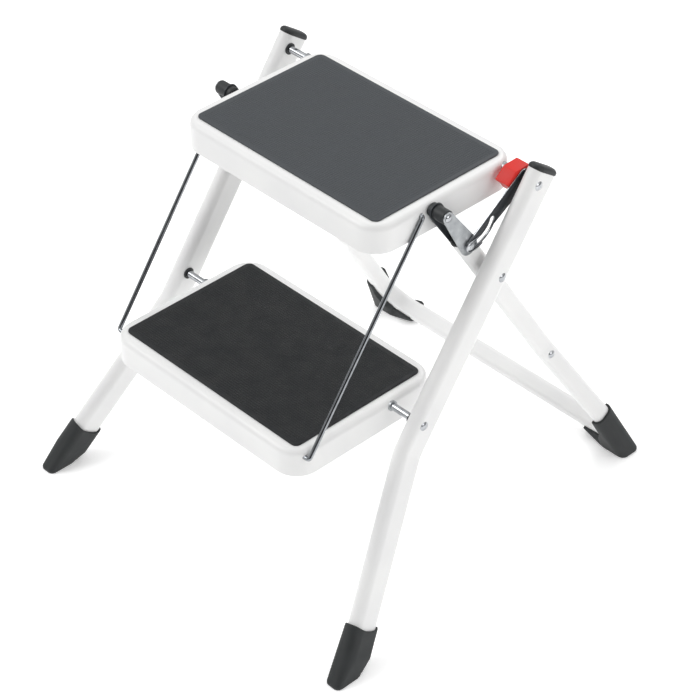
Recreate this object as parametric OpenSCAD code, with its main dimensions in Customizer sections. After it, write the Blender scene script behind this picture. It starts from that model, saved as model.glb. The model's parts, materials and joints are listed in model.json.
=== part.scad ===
// Folding two-step stool: flat-oval front legs, U-shaped rear frame, two
// sheet-steel treads that fold flat through a scissor and a pair of toggles.
// Millimetres. X runs across, Y runs from the front feet to the rear frame,
// Z is up. The origin is on the floor, at the middle of the footprint.

/* [Stance] */
// Height of the upper mat above the floor
stand_height = 446; // [370:1:536]
// Height from the lower mat to the upper mat
tread_rise = 217.5; // [200:0.5:260]
// Lean of the front legs from upright, in degrees
front_lean = 35.7; // [33:0.1:38]
// Lean of the rear legs from upright, in degrees
rear_lean = 32.4; // [30:0.1:34]

/* [Treads] */
// Width of a tread across the stool
tread_w = 290; // [240:1:350]
// Depth of a tread from front to back
tread_d = 200; // [185:1:215]
// Depth of the folded skirt round a tread
skirt_h = 32; // [28:1:37]
// Thickness of the tread steel
sheet_t = 1.5; // [1.2:0.1:2.0]
// Corner radius of a tread seen from above
tread_corner = 28; // [22:1:34]
// Radius of the bend between a tread and its skirt
tread_edge = 7; // [5:0.5:9]
// Width of the return flange under the skirt
flange_w = 7; // [4:0.5:9]
// Distance from the edge of a tread to its mat
mat_inset = 12.5; // [10:0.5:16]
// Thickness of a mat
mat_t = 2; // [1.5:0.1:3]
// Corner radius of a mat
mat_corner = 10; // [6:1:16]
// Distance from the upper axle to the front of the upper tread
upper_reach = 180; // [168:1:186]
// Distance from the lower axle to the front of the lower tread
lower_reach = 134; // [128:1:140]

/* [Front legs] */
// Wide side of the flat-oval leg tube
leg_w = 36; // [32:1:40]
// Narrow side of the flat-oval leg tube
leg_t = 18; // [16:0.5:20]
// Wall of the leg and frame tubes
tube_wall = 1.5; // [1.2:0.1:2]
// Distance from the lower axle down to the bend of a front leg
leg_bend_drop = 35; // [30:1:45]
// Outward splay of a front leg below its bend, in degrees
leg_splay = 13; // [10:0.5:15]
// Length of a leg above the upper axle
leg_over = 14; // [12:0.5:18]
// Distance that the axles stand in front of the middle of a leg
axle_set_forward = 6; // [4:0.5:7]

/* [Rear frame] */
// Wide side of the flat-oval tube of the rear frame
rear_w = 22; // [19:0.5:24]
// Narrow side of the flat-oval tube of the rear frame
rear_t = 14; // [12:0.5:16]
// Distance from the scissor pivot down to the bend of a rear leg
rear_bend_drop = 187; // [175:1:200]
// Outward splay of a rear leg below its bend, in degrees
rear_splay = 7; // [5:0.5:8]
// Bend radius at the two ground corners of the rear frame
rear_corner = 34; // [28:1:40]
// Length of a rear leg above its knuckle
knuckle_over = 9; // [8:0.5:11]
// Rubber under the ground bar
bar_sole_t = 4; // [3.5:0.5:6]

/* [Scissor and toggles] */
// Distance from the upper axle down the leg to the scissor pivot
pivot_drop = 99; // [96:0.5:102]
// Distance that the scissor pivot stands behind the line of the two axles
pivot_back = 12; // [9:0.5:13]
// Distance from the scissor pivot to the toggle pin, open
toggle_reach = 104; // [101:0.5:106]
// Turn of the treads from open to folded, in degrees
tread_fold = 49; // [44:0.5:49]
// Turn of the rear frame from open to folded, in degrees
rear_fold = 66; // [64:0.5:67]
// Distance from an axle forward to the top or bottom pin of a link rod
rod_arm = 118; // [116:1:122]
// Diameter of the bent link rods
rod_d = 4.8; // [4:0.1:5]

/* [Shafts] */
// Diameter of the two axles
axle_d = 8; // [7:0.1:9]
// Diameter of the scissor rivets
rivet_d = 8; // [7:0.1:9]
// Diameter of the toggle pins and of the knuckle bolts
pin_d = 5; // [4.5:0.1:5.5]
// Diameter of the black toggle bushes
toggle_bush_d = 15; // [13:0.5:15.5]
// Radial play of a running fit
play = 0.05; // [0.03:0.01:0.09]
// Gap between plates that pass each other
side_gap = 0.4; // [0.3:0.05:0.5]

/* [Latch lever] */
// Sheet thickness of the lever
lever_t = 1.6; // [1.2:0.1:1.8]
// Width of the slot that guides the knuckle bolt
slot_w = 6; // [5.8:0.1:6.6]
// Strip of metal left beside the slot
slot_wall = 2.4; // [2:0.1:3]
// Width of the red grip along the axle
grip_w = 17; // [14:0.5:18]

/* [Feet and caps] */
// Wall of the rubber feet
foot_wall = 3; // [2.5:0.1:4]
// Length of a front foot along its leg
front_foot_h = 56; // [48:1:62]
// Width and depth of the flat sole under a front foot
sole_w = 20; // [17:0.5:24]
sole_d = 34; // [30:1:38]
// Length of a rear foot up the leg from its corner, and along the ground bar
rear_foot_rise = 18; // [12:1:24]
rear_foot_run = 6; // [4:1:20]

/* [Hidden] */

$fn = 64;
WHITE = "#f0f0f0";
SLATE = "#4a4d51";
BLACK = "#2c2f31";
CHROME = "#c9ccd0";
ZINC = "#a5a8ab";
RED = "#d8332e";

// Rotation of a point [y, z] about the X axis
function turn(p, a) = [p[0] * cos(a) - p[1] * sin(a), p[0] * sin(a) + p[1] * cos(a)];
function polar(r, a) = [r * cos(a), r * sin(a)];
function angle_of(p) = atan2(p[1], p[0]);

// Side view, as [y, z]: the upper axle is the start of every other point
axle_below_top = 9.5;
up_leg = turn([0, 1], -front_lean);
off_leg = turn([1, 0], -front_lean);
up_rear = turn([0, 1], rear_lean);
ground_bar_z = rear_w / 2 + bar_sole_t;
rear_to_upper_axle = -pivot_drop * up_leg + pivot_back * off_leg;
rear_len = (stand_height - axle_below_top + rear_to_upper_axle[1] - ground_bar_z) / cos(rear_lean);
ground_bar_back = rear_w / 2 + foot_wall;
back_from_axle = rear_to_upper_axle[0] + rear_len * sin(rear_lean) + ground_bar_back;
floor_along_leg = ((stand_height - axle_below_top) - axle_set_forward * sin(front_lean))
  / cos(front_lean);
// Middle of a front sole from the point where the middle of the leg meets the floor
sole_shift_y = -5;
sole_shift_x = -2;
sole_y_from_axle = axle_set_forward * cos(front_lean) - floor_along_leg * sin(front_lean)
  + sole_shift_y;
front_from_axle = sole_y_from_axle - sole_d / 2;

upper_axle_at = [-(front_from_axle + back_from_axle) / 2, stand_height - axle_below_top];
lower_axle_at = upper_axle_at - [tread_rise * tan(front_lean), tread_rise];
pivot_at = upper_axle_at + rear_to_upper_axle;
toggle_at = pivot_at + toggle_reach * up_rear;

// The two arms of a toggle: in line when open, and closed again when folded
toggle_folded = upper_axle_at + turn(toggle_at - upper_axle_at, tread_fold) - pivot_at;
up_rear_folded = turn(up_rear, -rear_fold);
knuckle_arm = (toggle_reach * toggle_reach - toggle_folded * toggle_folded)
  / (2 * (toggle_reach - toggle_folded * up_rear_folded));
link_arm = toggle_reach - knuckle_arm;
knuckle_at = pivot_at + knuckle_arm * up_rear;
knuckle_folded = knuckle_arm * up_rear_folded;
link_turn = angle_of(knuckle_folded - toggle_folded) - angle_of(-up_rear);
lever_open = angle_of(knuckle_at - upper_axle_at);
lever_turn = angle_of(pivot_at + knuckle_folded - upper_axle_at) - lever_open;

rod_drop = 1;
rod_top_at = upper_axle_at - [rod_arm, rod_drop];
rod_low_at = lower_axle_at - [rod_arm, rod_drop];

// Places across the stool, stacked outwards from the skirt of a tread: link rod,
// inner plate, rear tube, outer plate, lever, bolt head and front leg
link_sheet = 1.5;
bolt_head_t = 1.7;
rod_gap = 0.5;
skirt_x = tread_w / 2;
rod_x = skirt_x + rod_gap + rod_d / 2;
inner_plate_in = rod_x + rod_d / 2 + side_gap;
inner_plate_out = inner_plate_in + link_sheet;
rear_inner_x = inner_plate_out + side_gap;
rear_x = rear_inner_x + rear_t / 2;
rear_outer_x = rear_inner_x + rear_t;
plate_in = rear_outer_x + side_gap;
plate_out = plate_in + link_sheet;
lever_in = plate_out + side_gap;
lever_out = lever_in + lever_t;
bolt_head_out = lever_out + side_gap + bolt_head_t;
leg_inner_x = bolt_head_out + side_gap;
leg_x = leg_inner_x + leg_t / 2;
leg_outer_x = leg_inner_x + leg_t;

// How far a cut runs past a face, and how far the bodies of one piece overlap
cut = 1;
lap = 0.5;
// Bores that hold a bush or the hook of a rod
bush_d = axle_d + 3;
knuckle_bush_d = pin_d + 2.8;
seat_gap = 0.1;
rod_play = 0.15;

leg_top = norm(upper_axle_at - lower_axle_at) + leg_over;
leg_bend_r = 45;
foot_along = (floor_along_leg - norm(upper_axle_at - lower_axle_at) - leg_bend_drop)
  / cos(leg_splay);
// Rubber between the floor and the end of a front leg, along the leg
leg_end_gap = 26;
// Tube seams: gap under a bead, and how far the bead stands proud
seam = 0.02;
bead = 0.1;
foot_x = leg_x + foot_along * sin(leg_splay);
foot_y = sole_y_from_axle + upper_axle_at[0] - sole_shift_y;

rear_bend_r = 60;
rear_corner_x = rear_x + (rear_len - rear_bend_drop) * tan(rear_splay);
corner_run = rear_corner * tan((90 + rear_splay) / 2);
rear_bend_run = rear_bend_r * tan(rear_splay / 2);
rear_lower_len = (rear_len - rear_bend_drop) / cos(rear_splay) - corner_run - rear_bend_run;
// The flat sole reaches this far inwards from the corner, over this length
sole_back = 20;
sole_len = sole_back + rear_t / 2 + foot_wall + 8;

// ---- Outlines -------------------------------------------------------------

// Flat oval, w along Y and t along X
module oval(w, t) {
  square([t, w - t], center = true);
  for (s = [-1, 1]) translate([0, s * (w - t) / 2]) circle(d = t);
}

// Cross-section of a tube, or of a solid bar when the wall is 0
module tube_section(w, t, wall) {
  difference() {
    oval(w, t);
    if (wall > 0) oval(w - 2 * wall, t - 2 * wall);
  }
}

module rounded(w, d, r) {
  square([w - 2 * r, d], center = true);
  square([w, d - 2 * r], center = true);
  for (sx = [-1, 1], sy = [-1, 1])
    translate([sx * (w / 2 - r), sy * (d / 2 - r)]) circle(r);
}

// Arc of radius r about p from the angle a to the angle b
function arc(p, r, a, b) = [for (k = [0:arc_steps]) p + polar(r, a + (b - a) * k / arc_steps)];
arc_steps = 20;

// Plate with round ends r1 at the origin and r2 at [len, 0], with straight flanks
module tapered(r1, r2, len) {
  flank = 90 - asin((r1 - r2) / len);
  polygon(concat(arc([0, 0], r1, flank, 360 - flank), arc([len, 0], r2, -flank, flank)));
}

// ---- Placing --------------------------------------------------------------

// Rod along X from x1 to x2 through the side-view point p
module across(p, x1, x2, d) {
  translate([x1, p[0], p[1]]) rotate([0, 90, 0]) cylinder(d = d, h = x2 - x1);
}

// Flat plate drawn in the side view about the point p, from x1 to x2
module side_plate(p, x1, x2) {
  translate([x1, p[0], p[1]]) rotate([90, 0, 90]) linear_extrude(x2 - x1) children();
}

// Children drawn for the right side, on side s
module on_side(s) {
  if (s > 0) children();
  else mirror([1, 0, 0]) children();
}

// Straight stretch of tube along +Z: the children carry on from its end
module straight(w, t, wall, len, start = seam) {
  translate([0, 0, start]) linear_extrude(len - start - seam) tube_section(w, t, wall);
  translate([0, 0, len]) children();
}

// Bend of a tube from +Z towards +X, with a fine seam bead at each end where the
// straight stretches meet it: the children carry on from its end
module bend(w, t, wall, r, a) {
  seam_bead(w, t, wall);
  translate([r, 0, 0]) {
    rotate([90, 0, 180]) rotate_extrude(angle = a, $fn = 96)
      translate([r, 0]) tube_section(w, t, wall);
    rotate([0, a, 0]) translate([-r, 0, 0]) {
      seam_bead(w, t, wall);
      children();
    }
  }
}

module seam_bead(w, t, wall) {
  linear_extrude(1.2, center = true)
    tube_section(w + 2 * bead, t + 2 * bead, wall > 0 ? wall + 2 * bead : 0);
}

// Front leg: X across, Z up the leg, start beside the lower axle
module front_plane() {
  translate([0, lower_axle_at[0], lower_axle_at[1]]) rotate([-front_lean, 0, 0])
    translate([0, axle_set_forward, 0]) children();
}

// Rear frame: X across, Z up the leg, start at the scissor pivot
module rear_plane() {
  translate([0, pivot_at[0], pivot_at[1]]) rotate([rear_lean, 0, 0]) children();
}

// Foot end of the right front leg: Z up the leg, start where it meets the floor
module leg_foot_frame() {
  translate([foot_x, foot_y, 0]) rotate([-front_lean, 0, 0]) rotate([0, -leg_splay, 0])
    children();
}

// ---- Front frame ----------------------------------------------------------

module front_leg(s) {
  bend_run = leg_bend_r * tan(leg_splay / 2);
  color(WHITE) on_side(s) difference() {
    front_plane() translate([leg_x, 0, leg_top]) rotate([180, 0, 0])
      straight(leg_w, leg_t, tube_wall, leg_top + leg_bend_drop - bend_run)
      bend(leg_w, leg_t, tube_wall, leg_bend_r, leg_splay)
      straight(leg_w, leg_t, tube_wall, foot_along - leg_end_gap - bend_run);
    for (p = [upper_axle_at, lower_axle_at])
      across(p, leg_inner_x - cut, leg_outer_x + cut, axle_d);
    across(pivot_at, leg_inner_x - cut, leg_outer_x + cut, rivet_d);
  }
}

module leg_cap(s) {
  cap_rim = 2.5;
  cap_dome = 5;
  // The stem ends above the axle
  stem = leg_over - axle_d / 2 - 1.5;
  stem_fit = 0.3;
  stem_wall = 1.85;
  color(BLACK) on_side(s)
    front_plane() translate([leg_x, 0, leg_top]) {
      hull() {
        linear_extrude(cap_rim) oval(leg_w + 1.6, leg_t + 1.6);
        translate([0, 0, cap_rim]) linear_extrude(cap_dome * 0.6) oval(leg_w - 3, leg_t - 3);
        translate([0, 0, cap_rim]) linear_extrude(cap_dome) oval(leg_w - 10, leg_t - 9);
      }
      // Hollow stem pressed into the tube
      translate([0, 0, -stem]) linear_extrude(stem + lap)
        tube_section(leg_w - 2 * tube_wall - stem_fit, leg_t - 2 * tube_wall - stem_fit, stem_wall);
    }
}

module front_foot(s) {
  sole_t = 3;
  groove = 2;
  groove_count = 4;
  color(BLACK) on_side(s) difference() {
    hull() {
      leg_foot_frame() translate([0, 0, leg_end_gap - foot_wall])
        linear_extrude(front_foot_h - leg_end_gap + foot_wall)
          oval(leg_w + 2 * foot_wall, leg_t + 2 * foot_wall, $fn = 32);
      translate([foot_x + sole_shift_x, foot_y + sole_shift_y, 0]) linear_extrude(sole_t)
        rounded(sole_w, sole_d, 6, $fn = 32);
    }
    // Socket for the end of the leg
    leg_foot_frame() translate([0, 0, leg_end_gap - 0.1]) linear_extrude(front_foot_h)
      oval(leg_w + 0.2, leg_t + 0.2);
    // Grooves across the back of the sole
    for (i = [0:groove_count - 1])
      translate([foot_x - sole_w, foot_y + sole_shift_y - groove + i * 2.4 * groove, -1])
        cube([2 * sole_w, groove, 1 + groove]);
  }
}

// Axle with a domed rivet head on the outside of each leg
module stool_axle(p) {
  head_r = axle_d / 2 + 1.2;
  head_t = 2.2;
  color(CHROME) {
    across(p, -leg_outer_x - lap, leg_outer_x + lap, axle_d);
    for (s = [-1, 1]) on_side(s) translate([leg_outer_x, p[0], p[1]]) rotate([0, 90, 0])
      rivet_head(head_r, head_t);
  }
}

// Domed head on Z = 0, of radius r and height h
module rivet_head(r, h) {
  ball_r = (r * r + h * h) / (2 * h);
  intersection() {
    cylinder(r = r, h = h);
    translate([0, 0, h - ball_r]) sphere(ball_r);
  }
}

module ring_across(p, x1, x2, d_out, d_in) {
  difference() {
    across(p, x1, x2, d_out);
    across(p, x1 - cut, x2 + cut, d_in);
  }
}

// Washers on an axle against the inner faces of the legs
module axle_washers(p) {
  color(BLACK) for (s = [-1, 1]) on_side(s)
    ring_across(p, leg_inner_x - cut, leg_inner_x, axle_d + 5, axle_d);
}

module scissor_rivet(s) {
  head_t = 2.2;
  inner_head_out = rear_inner_x - side_gap;
  color(CHROME) on_side(s) {
    across(pivot_at, inner_head_out - lap, leg_outer_x + lap, rivet_d);
    across(pivot_at, inner_head_out - head_t, inner_head_out, rivet_d + 4);
    translate([leg_outer_x, pivot_at[0], pivot_at[1]]) rotate([0, 90, 0])
      rivet_head(rivet_d / 2 + 1.2, head_t);
  }
}

module scissor_spacer(s) {
  color(BLACK) on_side(s)
    ring_across(pivot_at, rear_outer_x + side_gap, leg_inner_x, rivet_d + 1.4, rivet_d);
}

// ---- Treads ---------------------------------------------------------------

// Cross-section of the pressed edge: a quarter bend, the skirt and its flange.
// X = 0 is the outer face of the skirt and Y = 0 the top of the tread.
module edge_section() {
  intersection() {
    translate([-tread_edge, -tread_edge]) difference() {
      circle(tread_edge);
      circle(tread_edge - sheet_t);
    }
    translate([-tread_edge, -tread_edge]) square(tread_edge);
  }
  translate([-sheet_t, -skirt_h]) square([sheet_t, skirt_h - tread_edge]);
  translate([-flange_w, -skirt_h]) square([flange_w, sheet_t]);
}

// Shell of a tread, centred in X and Y, with its top at Z = 0
module tread_shell() {
  w = tread_w / 2 - tread_corner;
  d = tread_d / 2 - tread_corner;
  translate([0, 0, -sheet_t]) linear_extrude(sheet_t)
    rounded(tread_w - 2 * tread_edge, tread_d - 2 * tread_edge, tread_corner - tread_edge);
  for (s = [-1, 1]) {
    on_side(s) translate([tread_w / 2, d, 0]) rotate([90, 0, 0])
      linear_extrude(2 * d) edge_section();
    rotate([0, 0, s * 90]) translate([tread_d / 2, w, 0]) rotate([90, 0, 0])
      linear_extrude(2 * w) edge_section();
  }
  for (i = [0:3])
    translate([(i == 0 || i == 3 ? 1 : -1) * w, (i < 2 ? 1 : -1) * d, 0])
      rotate([0, 0, 90 * i]) rotate_extrude(angle = 90, $fn = 96)
        translate([tread_corner, 0]) edge_section();
}

// Middle of a tread, as [y, z], from its axle and its reach to the front
function tread_mid(p, reach) = [p[0] - reach + tread_d / 2, p[1] + axle_below_top - mat_t];

module tread(p, reach) {
  m = tread_mid(p, reach);
  color(WHITE) difference() {
    translate([0, m[0], m[1]]) tread_shell();
    across(p, -skirt_x - cut, skirt_x + cut, bush_d);
    across(p - [rod_arm, rod_drop], -skirt_x - cut, skirt_x + cut, rod_d + 2 * rod_play);
    if (p == upper_axle_at) across(toggle_at, -skirt_x - cut, skirt_x + cut, pin_d);
  }
}

module mat(p, reach, tone) {
  m = tread_mid(p, reach);
  color(tone) translate([0, m[0], m[1]]) linear_extrude(mat_t)
    rounded(tread_w - 2 * mat_inset, tread_d - 2 * mat_inset, mat_corner);
}

// Hat-shaped rib under the tread, from skirt to skirt, clear of the axle
module stiffener(p, reach, from_front) {
  rib_w = 34;
  rib_h = 14;
  brim = 9;
  m = tread_mid(p, reach);
  len = tread_w - 2 * sheet_t - 2 * flange_w - 2;
  color(WHITE) translate([-len / 2, p[0] - reach + from_front, m[1] - sheet_t])
    rotate([90, 0, 90]) linear_extrude(len) {
      for (s = [-1, 1]) {
        translate([s * (rib_w + brim) / 2, -sheet_t / 2]) square([brim, sheet_t], center = true);
        translate([s * (rib_w - sheet_t) / 2, -rib_h / 2]) square([sheet_t, rib_h], center = true);
      }
      translate([0, -rib_h + sheet_t / 2]) square([rib_w, sheet_t], center = true);
    }
}

// Flanged bushes that carry a tread on its axle
module axle_bushes(p) {
  bush_len = 8;
  flange_t = 1.2;
  color(ZINC) for (s = [-1, 1]) on_side(s) difference() {
    union() {
      across(p, skirt_x - sheet_t - bush_len, skirt_x, bush_d);
      across(p, skirt_x, skirt_x + flange_t, bush_d + 0.4);
    }
    across(p, skirt_x - sheet_t - bush_len - cut, skirt_x + flange_t + cut, axle_d + 2 * play);
  }
}

// Pin of a toggle, through the skirt of the upper tread. Its inner head stands
// inside the bend of the tread's edge.
module toggle_pin(s) {
  head_t = 1.8;
  inner_head_out = skirt_x - tread_edge;
  color(CHROME) on_side(s) {
    across(toggle_at, inner_head_out - lap, plate_out + side_gap + lap, pin_d);
    across(toggle_at, inner_head_out - head_t, inner_head_out, pin_d + 2.4);
    translate([plate_out + side_gap, toggle_at[0], toggle_at[1]]) rotate([0, 90, 0])
      rivet_head(pin_d / 2 + 1.8, head_t);
  }
}

// ---- Rear frame -----------------------------------------------------------

// Right half of the U, from the middle of the ground bar to the top of the leg
module rear_half() {
  translate([0, 0, -rear_len]) rotate([0, 90, 0]) mirror([1, 0, 0])
    straight(rear_w, rear_t, tube_wall, rear_corner_x - corner_run, start = 0)
    bend(rear_w, rear_t, tube_wall, rear_corner, 90 + rear_splay)
    straight(rear_w, rear_t, tube_wall, rear_lower_len) mirror([1, 0, 0])
    bend(rear_w, rear_t, tube_wall, rear_bend_r, rear_splay)
    straight(rear_w, rear_t, tube_wall,
             rear_bend_drop - rear_bend_run + knuckle_arm + knuckle_over);
}

module rear_frame() {
  color(WHITE) difference() {
    for (s = [-1, 1]) on_side(s) rear_plane() rear_half();
    for (s = [-1, 1]) on_side(s) {
      across(pivot_at, rear_inner_x - cut, rear_outer_x + cut, rivet_d + 2 * play);
      across(knuckle_at, rear_inner_x - cut, rear_outer_x + cut, knuckle_bush_d + 2 * seat_gap);
    }
  }
}

// Rubber shoe under a ground corner: two tapering halves that meet at the sole.
// The tube lies in it as in a gutter, so the inside of the bend stays bare.
module rear_foot(s) {
  bar_y = pivot_at[0] + rear_len * sin(rear_lean);
  collar_w = rear_w + 2 * foot_wall;
  collar_t = rear_t + 2 * foot_wall;
  gutter_rim = 2.5;
  cut_w = 60;
  color(BLACK) on_side(s) difference() {
    union() {
      hull() {
        rear_bar_end() translate([0, 0, -rear_foot_run]) straight(collar_w, collar_t, 0, 2, $fn = 32);
        rear_sole(bar_y);
      }
      hull() {
        rear_bar_end() bend_end(rear_corner, 90 + rear_splay)
          translate([0, 0, rear_foot_rise - 2]) straight(collar_w, collar_t, 0, 2, $fn = 32);
        rear_sole(bar_y);
      }
    }
    rear_bar_end() translate([0, 0, -rear_foot_run - 1])
      straight(rear_w + 0.2, rear_t + 0.2, 0, rear_foot_run + 1)
      bend(rear_w + 0.2, rear_t + 0.2, 0, rear_corner, 90 + rear_splay)
      straight(rear_w + 0.2, rear_t + 0.2, 0, rear_foot_rise + 1);
    // Everything inside the bend, from just above the middle of the tube
    rear_bar_end() {
      translate([gutter_rim, -cut_w / 2, -cut_w]) cube([rear_corner, cut_w, cut_w]);
      translate([rear_corner, 0, 0]) rotate([90, 0, 180])
        rotate_extrude(angle = 90 + rear_splay)
          translate([1, -cut_w / 2]) square([rear_corner - gutter_rim - 1, cut_w]);
      bend_end(rear_corner, 90 + rear_splay)
        translate([gutter_rim, -cut_w / 2, 0]) cube([rear_corner, cut_w, cut_w]);
    }
  }
}

// Frame at the end of the ground bar: Z outwards along it, X down the rear legs
module rear_bar_end() {
  rear_plane() translate([0, 0, -rear_len]) rotate([0, 90, 0]) mirror([1, 0, 0])
    translate([0, 0, rear_corner_x - corner_run]) children();
}

module bend_end(r, a) {
  translate([r, 0, 0]) rotate([0, a, 0]) translate([-r, 0, 0]) children();
}

module rear_sole(bar_y) {
  translate([rear_corner_x - sole_back + sole_len / 2, bar_y, 0]) linear_extrude(3)
    rounded(sole_len, 2 * ground_bar_back, 8, $fn = 32);
}

module rear_leg_plug(s) {
  color(BLACK) on_side(s)
    rear_plane() translate([rear_x, 0, knuckle_arm + knuckle_over]) {
      hull() {
        linear_extrude(1) oval(rear_w, rear_t);
        linear_extrude(3) oval(rear_w - 4, rear_t - 4);
      }
      translate([0, 0, -3]) linear_extrude(3.5)
        oval(rear_w - 2 * tube_wall - 0.3, rear_t - 2 * tube_wall - 0.3);
    }
}

// Domed rivets on the outside of the rear legs, just below the bend
module rear_leg_rivets() {
  below_bend = 13;
  color(CHROME) for (s = [-1, 1]) on_side(s) rear_plane()
    translate([rear_x, 0, -rear_bend_drop]) rotate([0, -rear_splay, 0])
    translate([rear_t / 2, 0, -below_bend]) rotate([0, 90, 0]) rivet_head(4.5, 2.2);
}

// Sleeves in the tops of the rear legs, on the axis of the knuckle bolts
module knuckle_bushes() {
  color(ZINC) for (s = [-1, 1]) on_side(s)
    ring_across(knuckle_at, rear_inner_x, rear_outer_x, knuckle_bush_d, pin_d + 2 * play);
}

// ---- Toggle links and rods ------------------------------------------------

link_axis = angle_of(-up_rear);
knuckle_eye_r = rear_w / 2;

// Outer plate of a toggle, wide at the knuckle
module link_plate(s) {
  color(ZINC) on_side(s) difference() {
    side_plate(toggle_at, plate_in, plate_out)
      rotate(link_axis) tapered(6.5, knuckle_eye_r, link_arm);
    across(toggle_at, plate_in - cut, plate_out + cut, pin_d + 2 * play);
    across(knuckle_at, plate_in - cut, plate_out + cut, pin_d);
  }
}

// Inner arm of a toggle, with an eye round the bush
module link_arm_inner(s) {
  color(BLACK) on_side(s) difference() {
    side_plate(toggle_at, inner_plate_in, inner_plate_out)
      rotate(link_axis) tapered(toggle_bush_d / 2 + 1.8, knuckle_eye_r - 3, link_arm);
    across(toggle_at, inner_plate_in - cut, inner_plate_out + cut, toggle_bush_d);
    across(knuckle_at, inner_plate_in - cut, inner_plate_out + cut, pin_d);
  }
}

module toggle_bush(s) {
  color(BLACK) on_side(s)
    ring_across(toggle_at, skirt_x + side_gap, plate_in, toggle_bush_d,
                pin_d + 2 * play);
}

// The bolt is drawn as its two ends: the joint at the knuckle is open between them
module knuckle_bolt(s) {
  nut_t = 2;
  color(CHROME) on_side(s) {
    across(knuckle_at, plate_in, bolt_head_out, pin_d);
    across(knuckle_at, inner_plate_in, inner_plate_out, pin_d);
    across(knuckle_at, inner_plate_in - nut_t, inner_plate_in, pin_d + 5);
    translate([bolt_head_out - bolt_head_t, knuckle_at[0], knuckle_at[1]])
      rotate([0, 90, 0]) rivet_head(bolt_head_r, bolt_head_t);
  }
}

// Bent rod from the upper to the lower tread, with a hook through each skirt
module link_rod(s) {
  hook_len = 9;
  bend_r = rod_d / 2 + 0.6;
  hook_x = skirt_x - hook_len;
  len = norm(rod_top_at - rod_low_at);
  color(CHROME) on_side(s)
    translate([rod_x, rod_low_at[0], rod_low_at[1]]) rotate([-front_lean, 0, 0])
    translate([0, 0, len / 2]) {
      cylinder(d = rod_d, h = len - 2 * bend_r, center = true);
      for (end = [0, 1]) mirror([0, 0, end]) translate([-bend_r, 0, len / 2 - bend_r]) {
        rotate([90, 0, 0]) rotate_extrude(angle = 90) translate([bend_r, 0]) circle(d = rod_d);
        translate([0, 0, bend_r]) rotate([0, -90, 0])
          cylinder(d = rod_d, h = rod_x - bend_r - hook_x);
      }
    }
}

// ---- Latch ----------------------------------------------------------------

// Path of the knuckle bolt in the lever's own frame, as the stool folds by
// the share t: the slot follows it, so the bolt never touches the slot's sides
function bolt_in_lever(t) =
  let(toggle_now = turn(toggle_at - upper_axle_at, t * tread_fold),
      bolt_now = toggle_now + link_arm * polar(1, link_axis + t * link_turn))
  turn(bolt_now, -t * lever_turn);

slot_steps = 12;
slot_points = [for (i = [0:slot_steps]) bolt_in_lever(i / slot_steps)];

// Unit normal of the bolt's path at step i
function slot_normal(i) =
  let(a = slot_points[max(i - 1, 0)], b = slot_points[min(i + 1, slot_steps)],
      d = (b - a) / norm(b - a))
  [-d[1], d[0]];

// Band of half width r along the first steps of the bolt's path, with round ends
module slot_band(r, last = slot_steps) {
  polygon(concat(
    [for (i = [1:last - 1]) slot_points[i] + r * slot_normal(i)],
    arc(slot_points[last], r, angle_of(slot_normal(last)), angle_of(slot_normal(last)) - 180),
    [for (i = [last - 1:-1:1]) slot_points[i] - r * slot_normal(i)],
    arc(slot_points[0], r, angle_of(-slot_normal(0)), angle_of(-slot_normal(0)) - 180)));
}

// Half width of the lever's round end, which carries the clip
lever_end_r = pin_d / 2 + 3.9;
bolt_head_r = pin_d / 2 + 2.6;

module latch_lever() {
  hub_r = 10;
  color("#55585a") difference() {
    union() {
      side_plate(upper_axle_at, lever_in, lever_out)
        rotate(lever_open) tapered(hub_r, lever_end_r, norm(knuckle_at - upper_axle_at));
      side_plate(upper_axle_at, lever_in, lever_out) slot_band(slot_w / 2 + slot_wall);
    }
    side_plate(upper_axle_at, lever_in - cut, lever_out + 1) slot_band(slot_w / 2);
    across(upper_axle_at, lever_in - cut, lever_out + cut, axle_d + 2 * play);
  }
}

// Red grip moulded on the inner side of the lever's hub, a wedge in side view
module release_grip() {
  grip_in = lever_in - grip_w;
  wedge = [[-22, 0], [-10, 11], [9, 11.5], [13, 3], [10, -9], [-3, -18], [-10, -15], [-14, -9]];
  color(RED) difference() {
    side_plate(upper_axle_at, grip_in, lever_in) polygon(wedge);
    across(upper_axle_at, grip_in - cut, lever_in + cut, axle_d + 2 * play);
  }
}

// U-shaped clip on the outer face of the lever, round the head of the bolt.
// Its mouth faces up the slot, so the head slides out of it as the stool folds.
module latch_clip() {
  clip_t = 1.1;
  clip_reach = 3;
  color(CHROME) side_plate(upper_axle_at, lever_out, lever_out + clip_t) difference() {
    slot_band(lever_end_r, clip_reach);
    slot_band(bolt_head_r + 0.3);
  }
}

// ---- Assembly -------------------------------------------------------------

front_leg(-1);  // front_leg_left
front_leg(1);  // front_leg_right
leg_cap(-1);  // leg_cap_left
leg_cap(1);  // leg_cap_right
front_foot(-1);  // front_foot_left
front_foot(1);  // front_foot_right
stool_axle(upper_axle_at);  // upper_axle
stool_axle(lower_axle_at);  // lower_axle
axle_washers(upper_axle_at);  // upper_axle_washers
axle_washers(lower_axle_at);  // lower_axle_washers
scissor_rivet(-1);  // scissor_rivet_left
scissor_rivet(1);  // scissor_rivet_right
scissor_spacer(-1);  // scissor_spacer_left
scissor_spacer(1);  // scissor_spacer_right
tread(upper_axle_at, upper_reach);  // upper_tread
mat(upper_axle_at, upper_reach, SLATE);  // upper_mat
stiffener(upper_axle_at, upper_reach, 80);  // upper_tread_stiffener
axle_bushes(upper_axle_at);  // upper_axle_bushes
toggle_pin(-1);  // toggle_pin_left
toggle_pin(1);  // toggle_pin_right
tread(lower_axle_at, lower_reach);  // lower_tread
mat(lower_axle_at, lower_reach, BLACK);  // lower_mat
stiffener(lower_axle_at, lower_reach, 80);  // lower_tread_stiffener
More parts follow.
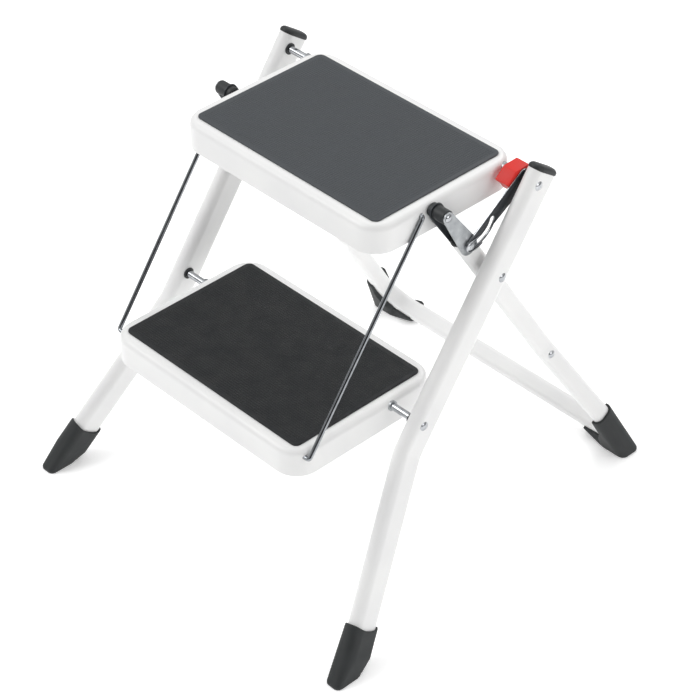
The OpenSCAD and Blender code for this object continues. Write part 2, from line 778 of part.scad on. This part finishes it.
axle_bushes(lower_axle_at);  // lower_axle_bushes
rear_frame();
rear_foot(-1);  // rear_foot_left
rear_foot(1);  // rear_foot_right
rear_leg_plug(-1);  // rear_leg_plug_left
rear_leg_plug(1);  // rear_leg_plug_right
rear_leg_rivets();
knuckle_bushes();
link_rod(-1);  // link_rod_left
link_rod(1);  // link_rod_right
link_plate(-1);  // link_plate_left
link_plate(1);  // link_plate_right
link_arm_inner(-1);  // link_arm_left
link_arm_inner(1);  // link_arm_right
toggle_bush(-1);  // toggle_bush_left
toggle_bush(1);  // toggle_bush_right
knuckle_bolt(-1);  // knuckle_bolt_left
knuckle_bolt(1);  // knuckle_bolt_right
latch_lever();
release_grip();
latch_clip();
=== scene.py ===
import json
import math
import bmesh
import bpy
from mathutils import Matrix, Vector


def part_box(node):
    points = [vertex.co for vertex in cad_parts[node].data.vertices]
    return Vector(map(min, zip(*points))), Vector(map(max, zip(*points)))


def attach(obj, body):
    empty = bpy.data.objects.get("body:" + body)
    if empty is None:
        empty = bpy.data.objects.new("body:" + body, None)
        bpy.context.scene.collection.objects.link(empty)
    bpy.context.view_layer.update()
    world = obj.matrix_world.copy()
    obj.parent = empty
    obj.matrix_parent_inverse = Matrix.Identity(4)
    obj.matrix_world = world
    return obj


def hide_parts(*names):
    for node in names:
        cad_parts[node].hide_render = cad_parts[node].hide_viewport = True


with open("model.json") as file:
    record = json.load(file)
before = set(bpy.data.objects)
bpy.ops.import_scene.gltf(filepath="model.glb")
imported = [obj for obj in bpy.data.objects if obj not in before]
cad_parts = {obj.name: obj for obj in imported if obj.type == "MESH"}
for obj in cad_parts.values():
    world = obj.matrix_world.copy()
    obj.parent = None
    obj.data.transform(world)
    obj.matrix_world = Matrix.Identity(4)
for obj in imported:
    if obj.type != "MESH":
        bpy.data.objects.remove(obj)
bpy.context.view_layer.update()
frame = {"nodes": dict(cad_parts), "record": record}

# --- Camera --------------------------------------------------------------------
# A long lens at about the eye height of someone standing, looking down at the front
# right corner of the stool. It is placed from the stool's upper axle.
pivots = {j["name"]: Vector(j["pos_m"]) for j in frame["record"]["behaviour"]["joints"]}
upper_axle_at = pivots["upper_step_fold"]
CAMERA_FROM_AXLE = Vector((1.5459, -1.5301, 1.3874))
CAMERA_TURN = math.radians(46.8)
CAMERA_TILT = math.radians(90 - 38.0)
CAMERA_ROLL = math.radians(-0.56)
camera_data = bpy.data.cameras.new("camera")
camera_data.lens = 128.2
camera_data.sensor_width = 36
camera_data.clip_end = 50
camera = bpy.data.objects.new("camera", camera_data)
bpy.context.scene.collection.objects.link(camera)
camera.matrix_world = (
    Matrix.Translation(upper_axle_at + CAMERA_FROM_AXLE)
    @ Matrix.Rotation(CAMERA_TURN, 4, "Z")
    @ Matrix.Rotation(CAMERA_TILT, 4, "X")
    @ Matrix.Rotation(CAMERA_ROLL, 4, "Z")
)
bpy.context.scene.camera = camera

# --- Floor, light and surroundings ----------------------------------------------
# A seamless white paper floor under a pale sky, with one broad soft lamp in front on
# the left, a weaker one on the right and a small one behind, as a product studio has.
world = bpy.data.worlds.new("studio")
world.use_nodes = True
bpy.context.scene.world = world
bpy.context.scene.view_settings.view_transform = "Standard"
sky = world.node_tree.nodes["Background"]
sky.inputs["Strength"].default_value = 1.0

# The paper lies just under the feet, so that no two faces share a plane
FLOOR_SIZE = 12
FLOOR_BELOW = 0.0004
bpy.ops.mesh.primitive_plane_add(size=FLOOR_SIZE, location=(0, 0, -FLOOR_BELOW))
floor = bpy.context.object
floor.name = "studio_floor"


def soft_lamp(name, place, aim, width, power):
    """A square lamp in metres and watts, turned to face the point aim."""
    data = bpy.data.lights.new(name, "AREA")
    data.size = width
    data.energy = power
    lamp = bpy.data.objects.new(name, data)
    bpy.context.scene.collection.objects.link(lamp)
    lamp.location = place
    lamp.rotation_euler = (Vector(aim) - Vector(place)).to_track_quat("-Z", "Y").to_euler()


soft_lamp("key_lamp", (-1.4, -1.6, 2.4), (0, 0, 0.2), 1.6, 28)
soft_lamp("fill_lamp", (2.2, -0.2, 1.3), (0, 0, 0.2), 1.4, 12)
soft_lamp("rim_lamp", (-0.6, 2.0, 1.9), (0, 0, 0.3), 1.0, 10)


def linear(hex_colour):
    """An sRGB hex colour as the linear values that Blender works in."""
    channels = [int(hex_colour[i:i + 2], 16) / 255 for i in (1, 3, 5)]
    return [c / 12.92 if c <= 0.04045 else ((c + 0.055) / 1.055) ** 2.4 for c in channels] + [1]


def add_node(tree, kind, settings=(), **inputs):
    """A node of one kind: settings are its own properties, inputs its values or links."""
    node = tree.nodes.new(kind)
    for key, value in dict(settings).items():
        setattr(node, key, value)
    for key, value in inputs.items():
        socket = node.inputs[int(key[1:])] if key[0] == "_" else node.inputs[key.replace("_", " ")]
        if isinstance(value, bpy.types.NodeSocket):
            tree.links.new(value, socket)
        else:
            socket.default_value = value
    return node


def new_material(name, **shader_values):
    """A material, its node tree and its shader, with values set on the shader's sockets."""
    material = bpy.data.materials.new(name)
    material.use_nodes = True
    shader = material.node_tree.nodes["Principled BSDF"]
    for key, value in shader_values.items():
        shader.inputs[key.replace("_", " ")].default_value = value
    return material, material.node_tree, shader


MM = 0.001


def scaled_noise(tree, size_mm, detail=2.0, stretch=(1, 1, 1)):
    """Noise on Object coordinates whose lumps are size_mm across."""
    place = add_node(tree, "ShaderNodeTexCoord").outputs["Object"]
    mapped = add_node(tree, "ShaderNodeMapping", Vector=place, Scale=stretch).outputs[0]
    return add_node(tree, "ShaderNodeTexNoise", Vector=mapped, Scale=1 / (size_mm * MM),
                    Detail=detail).outputs["Fac"]


def tint(tree, shader, factor, first, second):
    """A base colour that runs between two hex colours with the factor."""
    mix = add_node(tree, "ShaderNodeMix", {"data_type": "RGBA"}, Factor=factor,
                   _6=linear(first), _7=linear(second))
    tree.links.new(mix.outputs[2], shader.inputs["Base Color"])


# The paper glows a little, so it stays whiter than the stool
PAPER_GLOW = 0.3
PAPER_CLOUD_MM = 400
floor_material, floor_tree, floor_shader = new_material("studio_paper", Roughness=0.9)
tint(floor_tree, floor_shader, scaled_noise(floor_tree, PAPER_CLOUD_MM), "#ffffff", "#fdfdfd")
floor_shader.inputs["Emission Color"].default_value = (1, 1, 1, 1)
floor_shader.inputs["Emission Strength"].default_value = PAPER_GLOW
floor.data.materials.append(floor_material)

# The sky is bright above, dimmer towards the horizon and darkest on the front right,
# which gives the bright steel something dark to show
HORIZON_GLOW = 0.3
DARK_SIDE = (0.62, -0.62, 0.48)
DARK_SIDE_GLOW = 0.12
sky_tree = world.node_tree
look_up = add_node(sky_tree, "ShaderNodeTexCoord").outputs["Generated"]
height = add_node(sky_tree, "ShaderNodeSeparateXYZ", Vector=look_up).outputs["Z"]
glow = add_node(sky_tree, "ShaderNodeMapRange", {"interpolation_type": "SMOOTHSTEP"}, Value=height,
                From_Min=0.0, From_Max=0.75, To_Min=HORIZON_GLOW, To_Max=1.0).outputs["Result"]
front_right = add_node(sky_tree, "ShaderNodeVectorMath", {"operation": "DOT_PRODUCT"}, _0=look_up,
                       _1=DARK_SIDE).outputs["Value"]
dim = add_node(sky_tree, "ShaderNodeMapRange", {"interpolation_type": "SMOOTHSTEP"},
               Value=front_right, From_Min=0.5, From_Max=0.92, To_Min=1.0,
               To_Max=DARK_SIDE_GLOW).outputs["Result"]
sky_shade = add_node(sky_tree, "ShaderNodeMath", {"operation": "MULTIPLY"}, _0=glow, _1=dim)
sky_tree.links.new(sky_shade.outputs[0], sky.inputs["Color"])


# --- Legs, rear frame and treads ----------------------------------------------------
# Steel tube and pressed sheet under white polyester powder, sprayed on dry and baked:
# a smooth satin coat with a faint orange peel.
def spread(tree, value, low, high):
    """The middle of a noise stretched to run from low to high."""
    return add_node(tree, "ShaderNodeMapRange", Value=value, From_Min=0.3, From_Max=0.7,
                    To_Min=low, To_Max=high).outputs["Result"]


def add_bump(tree, shader, height, depth_mm, strength=1.0):
    bump = add_node(tree, "ShaderNodeBump", Strength=strength, Distance=depth_mm * MM, Height=height)
    tree.links.new(bump.outputs["Normal"], shader.inputs["Normal"])


def powder_coat():
    cloud_mm = 60
    orange_peel_mm = 1.4
    material, tree, shader = new_material("powder_coated_steel_white", Coat_Weight=0.15,
                                          Coat_Roughness=0.25)
    cloud = scaled_noise(tree, cloud_mm)
    tint(tree, shader, spread(tree, cloud, 0, 1), "#f2f2f1", "#ededed")
    tree.links.new(spread(tree, cloud, 0.34, 0.42), shader.inputs["Roughness"])
    add_bump(tree, shader, scaled_noise(tree, orange_peel_mm), 0.02, 0.6)
    return material


def wear(node_names, material):
    """Puts a material on CAD nodes."""
    for name in node_names:
        for slot in frame["nodes"][name].material_slots:
            slot.material = material


white = powder_coat()
wear(["front_leg_left", "front_leg_right", "upper_tread", "lower_tread",
      "upper_tread_stiffener", "lower_tread_stiffener", "rear_frame"], white)


# --- Caps on the front legs -------------------------------------------------------
# A black polypropylene plug pushed into the top of each front leg. Its head covers
# the tube's edge and is lightly crowned, with a rounded rim.
def moulded_plastic(name, dark, light, roughness, grain_mm=0.6):
    """Injection-moulded plastic: spark-eroded grain, slightly uneven gloss."""
    cloud_mm = 22
    material, tree, shader = new_material(name, IOR=1.49)
    cloud = scaled_noise(tree, cloud_mm)
    tint(tree, shader, spread(tree, cloud, 0, 1), dark, light)
    tree.links.new(spread(tree, cloud, roughness - 0.05, roughness + 0.06),
                   shader.inputs["Roughness"])
    add_bump(tree, shader, scaled_noise(tree, grain_mm, 3.0), 0.05, 0.5)
    return material


def select_only(piece):
    bpy.ops.object.select_all(action="DESELECT")
    piece.select_set(True)
    bpy.context.view_layer.objects.active = piece


def select_where(piece, wanted, kind="VERT"):
    """In edit mode, selects the vertices or faces for which wanted(place or face) holds."""
    bpy.ops.mesh.select_mode(type=kind)
    bpy.ops.mesh.select_all(action="DESELECT")
    mesh = bmesh.from_edit_mesh(piece.data)
    for part in (mesh.verts if kind == "VERT" else mesh.faces):
        part.select_set(wanted(part.co if kind == "VERT" else part))
    mesh.select_flush(True)
    bmesh.update_edit_mesh(piece.data)


def flat_oval_bar(name, wide, thick, height, sides=64):
    """A solid flat oval on z = 0, its wide side along Y, left in edit mode."""
    bpy.ops.object.select_all(action="DESELECT")
    bpy.ops.mesh.primitive_cylinder_add(vertices=sides, radius=thick / 2, depth=height,
                                        location=(0, 0, 0))
    piece = bpy.context.object
    piece.name = name
    bpy.ops.object.mode_set(mode="EDIT")
    bpy.ops.transform.translate(value=(0, 0, height / 2))
    just_off_middle = thick / 1000
    for side in (-1, 1):
        select_where(piece, lambda co: side * co.y > just_off_middle)
        bpy.ops.transform.translate(value=(0, side * (wide - thick) / 2, 0))
    return piece


def select_top(piece):
    select_where(piece, lambda face: face.normal.z > 0.9, "FACE")


def apply_bevel(piece, width, segments, angle=35):
    select_only(piece)
    bevel = piece.modifiers.new("rounded_edges", "BEVEL")
    bevel.width = width
    bevel.segments = segments
    bevel.angle_limit = math.radians(angle)
    bpy.ops.object.modifier_apply(modifier=bevel.name)
    bpy.ops.object.shade_smooth_by_angle(angle=math.radians(40))


def set_in_place(piece, place):
    """Moves a finished piece by the matrix and leaves its object at the origin."""
    piece.matrix_world = place
    select_only(piece)
    bpy.ops.object.transform_apply(location=True, rotation=True, scale=True)
    bpy.ops.object.mode_set(mode="EDIT")
    bpy.ops.mesh.select_all(action="SELECT")
    bpy.ops.mesh.normals_make_consistent(inside=False)
    bpy.ops.object.mode_set(mode="OBJECT")


def hand_over(piece, node, body, material):
    """A finished piece that stands for a CAD node and moves with its body."""
    piece.data.materials.clear()
    piece.data.materials.append(material)
    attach(piece, body)
    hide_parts(node)


# Where the cut end of each front leg is, from the axle and square to the leg
LEG_OVER_AXLE = 14 * MM
LEG_BEHIND_AXLE = 6 * MM
up_the_leg = upper_axle_at - pivots["lower_step_fold"]
leg_plane = Matrix.Rotation(-math.atan2(up_the_leg.y, up_the_leg.z), 4, "X")
leg_top = upper_axle_at + leg_plane @ Vector((0, LEG_BEHIND_AXLE, LEG_OVER_AXLE))
black_plastic = moulded_plastic("moulded_polypropylene_black", "#212426", "#292c2e", 0.5)
CAP_WIDE = 37.2 * MM
CAP_THICK = 19.2 * MM
CAP_SIDE = 3.2 * MM
CAP_ROUNDING = 0.7 * MM
CROWN_STEPS_MM = ((1.6, 2.0), (2.0, 0.9), (2.6, 0.4))
for side_name in ("left", "right"):
    cap = flat_oval_bar(f"leg_cap_{side_name}_crowned", CAP_WIDE, CAP_THICK, CAP_SIDE)
    select_top(cap)
    for inset, rise in CROWN_STEPS_MM:
        bpy.ops.mesh.inset(thickness=inset * MM, depth=0)
        bpy.ops.transform.translate(value=(0, 0, rise * MM))
    bpy.ops.object.mode_set(mode="OBJECT")
    apply_bevel(cap, CAP_ROUNDING, 3, 25)
    # The cap's foot lies on the cut end of the tube
    low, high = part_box(f"leg_cap_{side_name}")
    set_in_place(cap, Matrix.Translation(((low.x + high.x) / 2, leg_top.y, leg_top.z)) @ leg_plane)
    hand_over(cap, f"leg_cap_{side_name}", "front_frame", black_plastic)


# --- Front boots --------------------------------------------------------------------
# Thermoplastic rubber, injection moulded and pushed on. Each boot hugs the flat-oval
# leg, dips between two ears at its rim and has grip teeth at the heel.
def moulded_rubber(name, dark, light, grain_mm=0.8):
    """Thermoplastic rubber: matt, softly mottled, with a fine eroded grain."""
    cloud_mm = 18
    material, tree, shader = new_material(name, IOR=1.5)
    cloud = scaled_noise(tree, cloud_mm)
    tint(tree, shader, spread(tree, cloud, 0, 1), dark, light)
    tree.links.new(spread(tree, cloud, 0.56, 0.7), shader.inputs["Roughness"])
    add_bump(tree, shader, scaled_noise(tree, grain_mm, 4.0), 0.08, 0.6)
    return material


def hull_of(name, *blocks):
    """One convex skin round some blocks, which it uses up."""
    select_only(blocks[0])
    for block in blocks[1:]:
        block.select_set(True)
    bpy.ops.object.join()
    skin = bpy.context.object
    skin.name = name
    bpy.ops.object.mode_set(mode="EDIT")
    bpy.ops.mesh.select_all(action="SELECT")
    bpy.ops.mesh.convex_hull()
    bpy.ops.object.mode_set(mode="OBJECT")
    return skin


def combine(piece, other, how):
    """Cuts a piece with another or joins the two, and uses the other one up."""
    select_only(piece)
    step = piece.modifiers.new("combine", "BOOLEAN")
    step.operation = how
    step.solver = "EXACT"
    step.object = other
    bpy.ops.object.modifier_apply(modifier=step.name)
    bpy.data.objects.remove(other)


def box_block(name, low, high):
    """A plain block to cut with or to shape further, from its two corners."""
    size = Vector(high) - Vector(low)
    bpy.ops.object.select_all(action="DESELECT")
    bpy.ops.mesh.primitive_cube_add(size=1, location=(Vector(low) + Vector(high)) / 2, scale=size)
    block = bpy.context.object
    block.name = name
    bpy.ops.object.transform_apply(location=True, rotation=True, scale=True)
    return block


def rounded_plate(name, centre, wide, deep, corner, high):
    """A flat plate on z = 0 with four rounded corners."""
    block = box_block(name, (centre[0] - wide / 2, centre[1] - deep / 2, 0),
                      (centre[0] + wide / 2, centre[1] + deep / 2, high))
    bpy.ops.object.mode_set(mode="EDIT")
    bpy.ops.mesh.select_mode(type="EDGE")
    bpy.ops.mesh.select_all(action="DESELECT")
    mesh = bmesh.from_edit_mesh(block.data)
    for edge in mesh.edges:
        edge.select_set(abs(edge.verts[0].co.z - edge.verts[1].co.z) > high / 2)
    bmesh.update_edit_mesh(block.data)
    bpy.ops.mesh.bevel(offset=corner, segments=8)
    bpy.ops.object.mode_set(mode="OBJECT")
    return block


def moulded_skin(piece, voxel, rounds):
    """Turns a cut block into one even skin with softly rounded edges, as a mould gives."""
    select_only(piece)
    remesh = piece.modifiers.new("skin", "REMESH")
    remesh.mode = "VOXEL"
    remesh.voxel_size = voxel
    bpy.ops.object.modifier_apply(modifier=remesh.name)
    smooth = piece.modifiers.new("rounding", "SMOOTH")
    smooth.iterations = rounds
    smooth.factor = 0.5
    bpy.ops.object.modifier_apply(modifier=smooth.name)
    bpy.ops.object.shade_smooth()


def mirror_copy(piece, name):
    """The same piece for the left side, turned back the right way round."""
    copy = piece.copy()
    copy.data = piece.data.copy()
    copy.name = name
    bpy.context.scene.collection.objects.link(copy)
    set_in_place(copy, Matrix.Scale(-1, 4, (1, 0, 0)))
    return copy


foot_rubber = moulded_rubber("thermoplastic_rubber_black", "#222526", "#2a2d2e")
LEG_WIDE = 36 * MM
LEG_THICK = 18 * MM
LEG_SPLAY = math.radians(13)
# Heights up the leg, from where its middle line meets the floor
SLEEVE_LOW = 23.4 * MM
SOCKET_LOW = 26 * MM
BOOT_RIM = 56 * MM
BOOT_WALL = 2.6 * MM
SOCKET_PLAY = 0.1 * MM
SOLE_WIDE = 20 * MM
SOLE_DEEP = 34 * MM
SOLE_CORNER = 6 * MM
SOLE_HIGH = 3 * MM
foot_low, foot_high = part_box("front_foot_right")
sole_at = Vector((foot_high.x - SOLE_WIDE / 2, foot_low.y + SOLE_DEEP / 2, 0))
# The leg's middle line meets the floor this far outwards and back from the sole's middle
sole_to_leg = Vector((2, 5, 0)) * MM
foot_place = (Matrix.Translation(sole_at + sole_to_leg) @ leg_plane
              @ Matrix.Rotation(-LEG_SPLAY, 4, "Y"))


def oval_block(name, wall, low, high):
    """A flat oval wall thicker than the leg, from low to high up the foot of the leg."""
    block = flat_oval_bar(name, LEG_WIDE + 2 * wall, LEG_THICK + 2 * wall, high - low)
    bpy.ops.mesh.select_all(action="SELECT")
    bpy.ops.transform.translate(value=(0, 0, low))
    bpy.ops.object.mode_set(mode="OBJECT")
    set_in_place(block, foot_place)
    return block


# The sleeve and the sole in one skin, hollowed for the leg from the socket's floor up
PAST_RIM = 20 * MM
sole = rounded_plate("boot_sole", sole_at, SOLE_WIDE, SOLE_DEEP, SOLE_CORNER, SOLE_HIGH)
sleeve = oval_block("boot_sleeve", BOOT_WALL, SLEEVE_LOW, BOOT_RIM)
boot = hull_of("front_foot_right_boot", sleeve, sole)
combine(boot, oval_block("socket", SOCKET_PLAY, SOCKET_LOW, BOOT_RIM + PAST_RIM), "DIFFERENCE")
# The rim dips across each wide face, between ears on the two edges
RIM_DIP = 4 * MM
DIP_REACH = 100 * MM
rim_radius = ((LEG_WIDE / 2) ** 2 + RIM_DIP ** 2) / (2 * RIM_DIP)
bpy.ops.object.select_all(action="DESELECT")
bpy.ops.mesh.primitive_cylinder_add(vertices=160, radius=rim_radius, depth=DIP_REACH,
                                    location=(0, 0, 0), rotation=(0, math.pi / 2, 0))
dip = bpy.context.object
bpy.ops.object.transform_apply(location=False, rotation=True, scale=False)
set_in_place(dip, foot_place @ Matrix.Translation((0, 0, BOOT_RIM - RIM_DIP + rim_radius)))
combine(boot, dip, "DIFFERENCE")
# Grooves cut across the chamfered heel leave grip teeth, higher towards the back
GROOVES = 4
GROOVE_SET_IN = 1 * MM
GROOVE_PITCH = 4.4 * MM
GROOVE_WIDE = 2.0 * MM
GROOVE_TOP = 3.2 * MM
HEEL_RISE = 0.3
PAST_SOLE = 30 * MM
UNDER_SOLE = -10 * MM
first_groove = sole_at.y + SOLE_DEEP / 2 - GROOVE_SET_IN
for row in range(GROOVES):
    back = row * GROOVE_PITCH
    groove = box_block("groove", (sole_at.x - PAST_SOLE, first_groove + back, UNDER_SOLE),
                       (sole_at.x + PAST_SOLE, first_groove + back + GROOVE_WIDE,
                        GROOVE_TOP + HEEL_RISE * back))
    combine(boot, groove, "DIFFERENCE")
BOOT_MESH = 0.55 * MM
moulded_skin(boot, BOOT_MESH, 4)
boots = {"right": boot, "left": mirror_copy(boot, "front_foot_left_boot")}
for side_name, piece in boots.items():
    hand_over(piece, f"front_foot_{side_name}", "front_frame", foot_rubber)


# --- Rear shoes ---------------------------------------------------------------------
# The same black rubber. Each shoe is a moulded gutter that wraps the outside and the
# underside of the rear frame's ground corner and leaves the inside of the bend bare.
def refined_copy(node, name):
    """A copy of a CAD node's skin with its triangles merged and its flats made one face."""
    copy = frame["nodes"][node].copy()
    copy.data = copy.data.copy()
    copy.name = name
    copy.parent = None
    copy.matrix_world = Matrix.Identity(4)
    for key in list(copy.keys()):
        del copy[key]
    bpy.context.scene.collection.objects.link(copy)
    select_only(copy)
    bpy.ops.object.mode_set(mode="EDIT")
    bpy.ops.mesh.select_all(action="SELECT")
    bpy.ops.mesh.remove_doubles(threshold=0.002 * MM)
    bpy.ops.mesh.customdata_custom_splitnormals_clear()
    bpy.ops.mesh.dissolve_limited(angle_limit=math.radians(1))
    bpy.ops.object.mode_set(mode="OBJECT")
    return copy


SHOE_MESH = 0.6 * MM
shoe = refined_copy("rear_foot_right", "rear_foot_right_shoe")
moulded_skin(shoe, SHOE_MESH, 5)
shoes = {"right": shoe, "left": mirror_copy(shoe, "rear_foot_left_shoe")}
for side_name, piece in shoes.items():
    hand_over(piece, f"rear_foot_{side_name}", "rear_legs", foot_rubber)


# --- Axles, rivets, rods, bolts and the clip --------------------------------------------
# Turned and bent steel, chrome-plated or bright drawn, with the hairlines that handling
# leaves. The bushes are zinc-plated, greyer and softly mottled, and the washers, spacers
# and plugs are black plastic.
def plated_steel(name, dark, light, roughness, streak_mm, metallic=1.0):
    """Steel under a plating: slightly uneven colour, fine hairlines in gloss and bump."""
    cloud_mm = 9
    material, tree, shader = new_material(name, Metallic=metallic)
    cloud = scaled_noise(tree, cloud_mm)
    tint(tree, shader, spread(tree, cloud, 0, 1), dark, light)
    hairline = scaled_noise(tree, streak_mm, 2.0, (1, 6, 1))
    tree.links.new(spread(tree, hairline, roughness, roughness + 0.08), shader.inputs["Roughness"])
    add_bump(tree, shader, hairline, 0.01, 0.2)
    return material


chrome = plated_steel("chrome_plated_steel", "#a3a6aa", "#c4c6c9", 0.08, 1.5)
drawn_steel = plated_steel("bright_drawn_steel_rod", "#8b8e92", "#a2a5a9", 0.05, 1.5)
zinc = plated_steel("zinc_plated_steel", "#9a9da0", "#b2b5b7", 0.34, 1.2)
wear(["upper_axle", "lower_axle", "scissor_rivet_left", "scissor_rivet_right", "rear_leg_rivets",
      "toggle_pin_left", "toggle_pin_right", "knuckle_bolt_left", "knuckle_bolt_right",
      "latch_clip"], chrome)
wear(["link_rod_left", "link_rod_right"], drawn_steel)
wear(["upper_axle_bushes", "lower_axle_bushes", "knuckle_bushes"], zinc)
wear(["upper_axle_washers", "lower_axle_washers", "scissor_spacer_left", "scissor_spacer_right",
      "rear_leg_plug_left", "rear_leg_plug_right"], black_plastic)


# --- Mats ------------------------------------------------------------------------------
# Rubber sheet moulded with small raised squares inside a plain border, glued to the
# tread. The upper one is slate grey, the lower one nearly black. The squares are drawn
# coarser than the real grain, so that they show.
SQUARE_PITCH = 3.0 * MM
SQUARE_GAP = 0.45 * MM
SQUARE_RISE = 0.35 * MM
MAT_BORDER = 4 * MM
MAT_CORNER = 7 * MM
MAT_ROUNDING = 0.5 * MM


def tread_mat(node, body, material):
    """One mat in the box of its CAD node: a rounded sheet with the squares on top."""
    low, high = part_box(node)
    middle = (low + high) / 2
    size = high - low
    sheet = rounded_plate(f"{node}_sheet", (0, 0), size.x, size.y, MAT_CORNER, size.z - SQUARE_RISE)
    apply_bevel(sheet, MAT_ROUNDING, 2)
    columns = int((size.x - 2 * MAT_BORDER) / SQUARE_PITCH)
    rows = int((size.y - 2 * MAT_BORDER) / SQUARE_PITCH)
    bpy.ops.object.select_all(action="DESELECT")
    bpy.ops.mesh.primitive_grid_add(x_subdivisions=columns, y_subdivisions=rows, size=1)
    squares = bpy.context.object
    squares.name = f"{node}_squares"
    squares.scale = (columns * SQUARE_PITCH, rows * SQUARE_PITCH, 1)
    bpy.ops.object.transform_apply(location=False, rotation=False, scale=True)
    bpy.ops.object.mode_set(mode="EDIT")
    corner_x = size.x / 2 - MAT_CORNER
    corner_y = size.y / 2 - MAT_CORNER

    def outside(face):
        centre = face.calc_center_median()
        over_x = max(abs(centre.x) - corner_x, 0)
        over_y = max(abs(centre.y) - corner_y, 0)
        return math.hypot(over_x, over_y) > MAT_CORNER - MAT_BORDER

    select_where(squares, outside, "FACE")
    bpy.ops.mesh.delete(type="FACE")
    bpy.ops.mesh.select_all(action="SELECT")
    bpy.ops.mesh.inset(thickness=SQUARE_GAP, depth=SQUARE_RISE, use_individual=True)
    bpy.ops.object.mode_set(mode="OBJECT")
    squares.location.z = size.z - SQUARE_RISE
    bpy.ops.object.transform_apply(location=True, rotation=False, scale=False)
    select_only(sheet)
    squares.select_set(True)
    bpy.ops.object.join()
    set_in_place(sheet, Matrix.Translation((middle.x, middle.y, low.z)))
    hand_over(sheet, node, body, material)


grey_mat = moulded_rubber("moulded_rubber_mat_slate", "#3f4347", "#474b4f")
dark_mat = moulded_rubber("moulded_rubber_mat_black", "#0d1013", "#13171a")
tread_mat("upper_mat", "upper_step", grey_mat)
tread_mat("lower_mat", "lower_step", dark_mat)


# --- Toggle links ------------------------------------------------------------------------
# Each toggle is a zinc-plated outer plate and a dark inner arm on one black bush. The
# plates are stampings with slightly rolled edges; the bush is turned with a chamfer.
def softened(node, name, body, material, width):
    """A copy of a CAD node with its edges rounded over, which stands for the node."""
    piece = refined_copy(node, name)
    apply_bevel(piece, width, 3)
    hand_over(piece, node, body, material)
    return piece


# Dark steel for the inner arms, and for the lever's flats, where it also stands in as painted shade
dark_steel = plated_steel("dark_sheet_steel", "#33363a", "#3d4044", 0.38, 1.2, 0.35)
PLATE_ROUNDING = 0.35 * MM
BUSH_ROUNDING = 0.8 * MM
for side_name in ("left", "right"):
    body = f"toggle_{side_name}"
    softened(f"link_plate_{side_name}", f"link_plate_{side_name}_stamped", body, zinc,
             PLATE_ROUNDING)
    softened(f"link_arm_{side_name}", f"link_arm_{side_name}_stamped", body,
             dark_steel, PLATE_ROUNDING)
    softened(f"toggle_bush_{side_name}", f"toggle_bush_{side_name}_turned", body,
             black_plastic, BUSH_ROUNDING)


# --- Latch -------------------------------------------------------------------------------
# The lever is stamped steel. Its flats wear the dark steel, which also stands in as painted shade,
# and its edges wear chrome as a painted highlight. Its grip is moulded in red ABS with rounded
# corners.
LEVER_ROUNDING = 0.5 * MM
GRIP_ROUNDING = 1.4 * MM
lever = softened("latch_lever", "latch_lever_stamped", "lever", dark_steel,
                 LEVER_ROUNDING)
lever.data.materials.append(chrome)
# The flats keep the dark steel, also as painted shade; the edges get chrome as a painted highlight
dark_shaded_flat, painted_highlight_edge = 0, 1
for face in lever.data.polygons:
    face.material_index = painted_highlight_edge if abs(face.normal.x) < 0.9 else dark_shaded_flat
red_plastic = moulded_plastic("moulded_abs_red", "#d4170b", "#e02012", 0.5, 0.7)
softened("release_grip", "release_grip_moulded", "lever", red_plastic,
         GRIP_ROUNDING)
